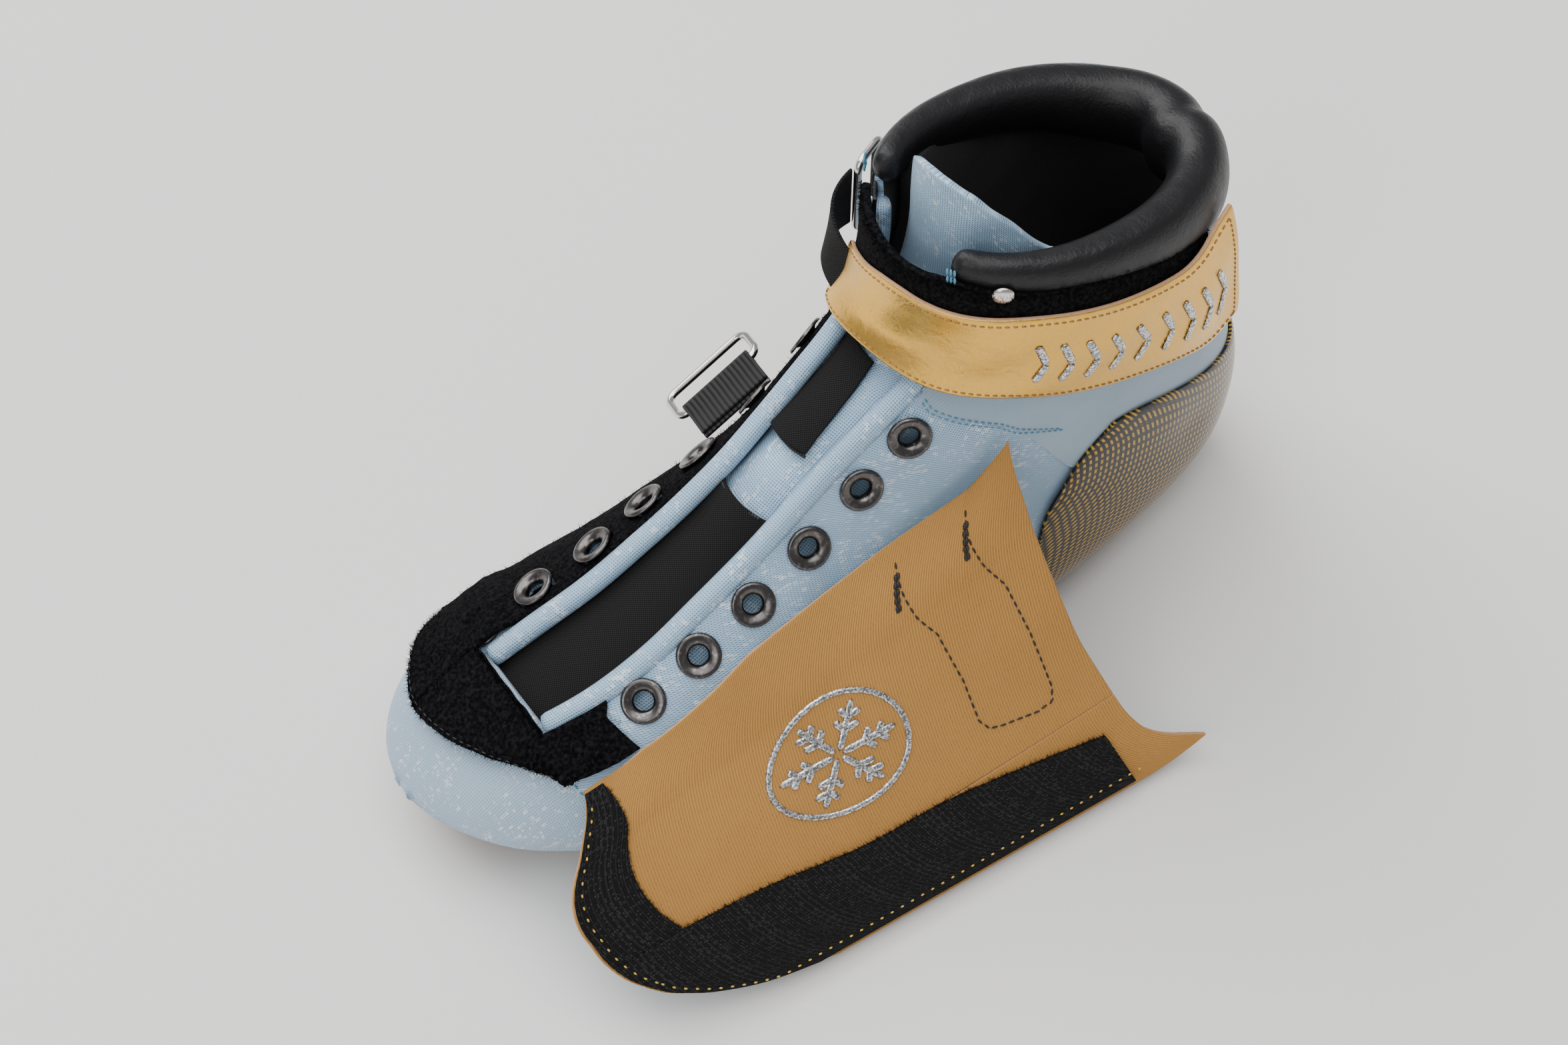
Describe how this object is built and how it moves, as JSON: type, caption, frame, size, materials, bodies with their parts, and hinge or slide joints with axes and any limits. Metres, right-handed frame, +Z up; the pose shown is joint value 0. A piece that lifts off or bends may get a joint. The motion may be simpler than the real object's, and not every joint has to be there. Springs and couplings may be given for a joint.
{
  "type": "speed skating boot",
  "caption": "Low-cut speed skating boot with a carbon shell, a laced upper, an ankle strap and a lace cover folded open on the outer side.",
  "frame": {"origin": "centre of the front mounting block's flat underside, on the floor", "axes": "+X to the toe, +Y to the outer side of a left foot, +Z up"},
  "size_m": [0.2866, 0.1536, 0.1772],
  "materials": {
    "carbon": "clear-coated black and yellow woven fibre",
    "upper_fabric": "shimmering light blue coated weave",
    "collar_leather": "smooth soft black",
    "gold_leather": "crinkled metallic gold",
    "cover_suede": "ribbed napped tan",
    "hook_tape": "black hook tape",
    "loop_pile": "black napped loop",
    "webbing": "black woven webbing",
    "lining": "black padded lining",
    "board": "fibreboard",
    "nickel": "bright nickel",
    "gunmetal": "dark plated",
    "aluminium": "machined"
  },
  "bodies": {
    "boot": {"ankle_ring_tab": "webbing", "ankle_strap_base": "loop_pile", "carbon_shell": "carbon", "collar_pad": "collar_leather", "cover_root": "cover_suede", "footbed": "lining", "front_mount_block": "aluminium", "front_mount_insert_1": "nickel", "front_mount_insert_2": "nickel", "heel_pad": "lining", "inner_eyelet_1": "gunmetal", "inner_eyelet_2": "gunmetal", "inner_eyelet_3": "gunmetal", "inner_eyelet_4": "gunmetal", "inner_eyelet_5": "gunmetal", "inner_eyelet_6": "gunmetal", "inner_eyelet_7": "gunmetal", "inner_lining": "lining", "inner_piping": "upper_fabric", "inner_quarter": "upper_fabric", "insole_board": "board", "instep_ring_tab": "webbing", "loop_patch": "loop_pile", "outer_eyelet_1": "gunmetal", "outer_eyelet_2": "gunmetal", "outer_eyelet_3": "gunmetal", "outer_eyelet_4": "gunmetal", "outer_eyelet_5": "gunmetal", "outer_eyelet_6": "gunmetal", "outer_eyelet_7": "gunmetal", "outer_lining": "lining", "outer_piping": "upper_fabric", "outer_quarter": "upper_fabric", "rear_mount_block": "aluminium", "rear_mount_insert_1": "nickel", "rear_mount_insert_2": "nickel", "toe_puff": "board", "tongue": "upper_fabric", "tongue_loop": "webbing", "tongue_webbing": "webbing", "vamp": "upper_fabric"},
    "ankle_ring": {"ankle_ring": "nickel"},
    "ankle_strap": {"ankle_strap": "gold_leather", "ankle_strap_webbing": "webbing"},
    "instep_ring": {"instep_ring": "nickel"},
    "tongue_top": {"tongue_top": "upper_fabric"},
    "cover": {"cover_panel": "cover_suede", "cover_toe_hook": "hook_tape", "instep_strap": "webbing"},
    "cover_edge": {"cover_edge": "cover_suede", "cover_hook_tape": "hook_tape"},
    "instep_strap_end": {"instep_strap_end": "webbing"}
  },
  "joints": [
    {"name": "cover_hinge", "type": "hinge", "parent": "boot", "child": "cover", "pos_m": [-0.02955, 0.04224, 0.06402], "axis": [0.9701, 0.0045, -0.2428], "range_deg": [0, 150]},
    {"name": "cover_fold", "type": "hinge", "parent": "cover", "child": "cover_edge", "pos_m": [-0.04039, 0.08058, 0.02155], "axis": [0.9969, -0.0373, -0.0689], "range_deg": [0, 45]},
    {"name": "instep_strap_lift", "type": "hinge", "parent": "cover", "child": "instep_strap_end", "pos_m": [-0.08915, 0.08055, 0.02348], "axis": [-0.9969, 0.0352, 0.0701], "range_deg": [0, 110]},
    {"name": "instep_ring_swing", "type": "hinge", "parent": "boot", "child": "instep_ring", "pos_m": [-0.05252, -0.04042, 0.08183], "axis": [0.9137, -0.0092, -0.4062], "range_deg": [-70, 60]},
    {"name": "ankle_ring_swing", "type": "hinge", "parent": "boot", "child": "ankle_ring", "pos_m": [-0.10939, -0.04161, 0.1357], "axis": [0.0395, -0.0041, -0.9992], "range_deg": [0, 25]},
    {"name": "ankle_strap_peel", "type": "hinge", "parent": "ankle_ring", "child": "ankle_strap", "pos_m": [-0.09817, -0.03649, 0.13613], "axis": [0.0395, -0.0041, -0.9992], "range_deg": [0, 105]},
    {"name": "tongue_flex", "type": "hinge", "parent": "boot", "child": "tongue_top", "pos_m": [-0.08205, -0.00095, 0.115], "axis": [0, 1, 0], "range_deg": [-15, 5]}
  ]
}
